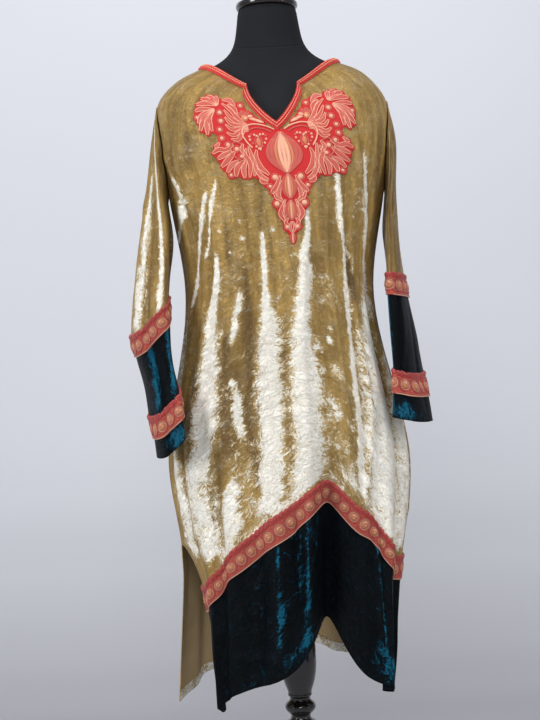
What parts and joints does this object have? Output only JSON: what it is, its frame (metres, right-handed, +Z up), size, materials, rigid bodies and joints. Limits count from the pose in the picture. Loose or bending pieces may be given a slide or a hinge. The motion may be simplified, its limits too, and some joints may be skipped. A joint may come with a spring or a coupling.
{
  "type": "pheran on a dress form",
  "caption": "Loose crushed velvet tunic with long sleeves, slit neck, embroidered yoke and bands and open side slits, worn by a limbless dress form that turns on a wooden stand.",
  "frame": {"origin": "middle of the underside of the stand's base", "axes": "+Z up along the post, -Y the way the front of the garment faces, +X the wearer's left"},
  "size_m": [0.5056, 0.35, 1.545],
  "materials": {
    "gold_velvet": "crushed velvet, olive gold with cream lights",
    "teal_velvet": "crushed velvet, very dark teal with blue lights",
    "red_embroidery": "corded embroidery in red, coral and peach",
    "coral_band": "woven and embroidered ribbon in coral with peach gold rounds",
    "black_jersey": "matte knitted cover, stretched smooth",
    "grey_plastic": "smooth moulded plastic, pale grey",
    "black_lacquer": "turned wood, glossy black"
  },
  "bodies": {
    "stand": {"stand_base": "black_lacquer", "stand_post": "black_lacquer"},
    "form": {"front_panel": "gold_velvet", "back_panel": "gold_velvet", "front_hem_panel": "teal_velvet", "front_hem_band": "coral_band", "sleeve_left": "gold_velvet", "sleeve_end_left": "teal_velvet", "sleeve_upper_band_left": "coral_band", "sleeve_lower_band_left": "coral_band", "sleeve_right": "gold_velvet", "sleeve_end_right": "teal_velvet", "sleeve_upper_band_right": "coral_band", "sleeve_lower_band_right": "coral_band", "neck_binding_front": "red_embroidery", "neck_binding_back": "red_embroidery", "neck_motif": "red_embroidery", "form_torso": "black_jersey", "form_neck_cap": "black_lacquer", "form_neck_boss": "grey_plastic"}
  },
  "joints": [
    {"name": "form_swivel", "type": "hinge", "parent": "stand", "child": "form", "pos_m": [0, 0, 0.752], "axis": [0, 0, 1], "continuous": true}
  ]
}
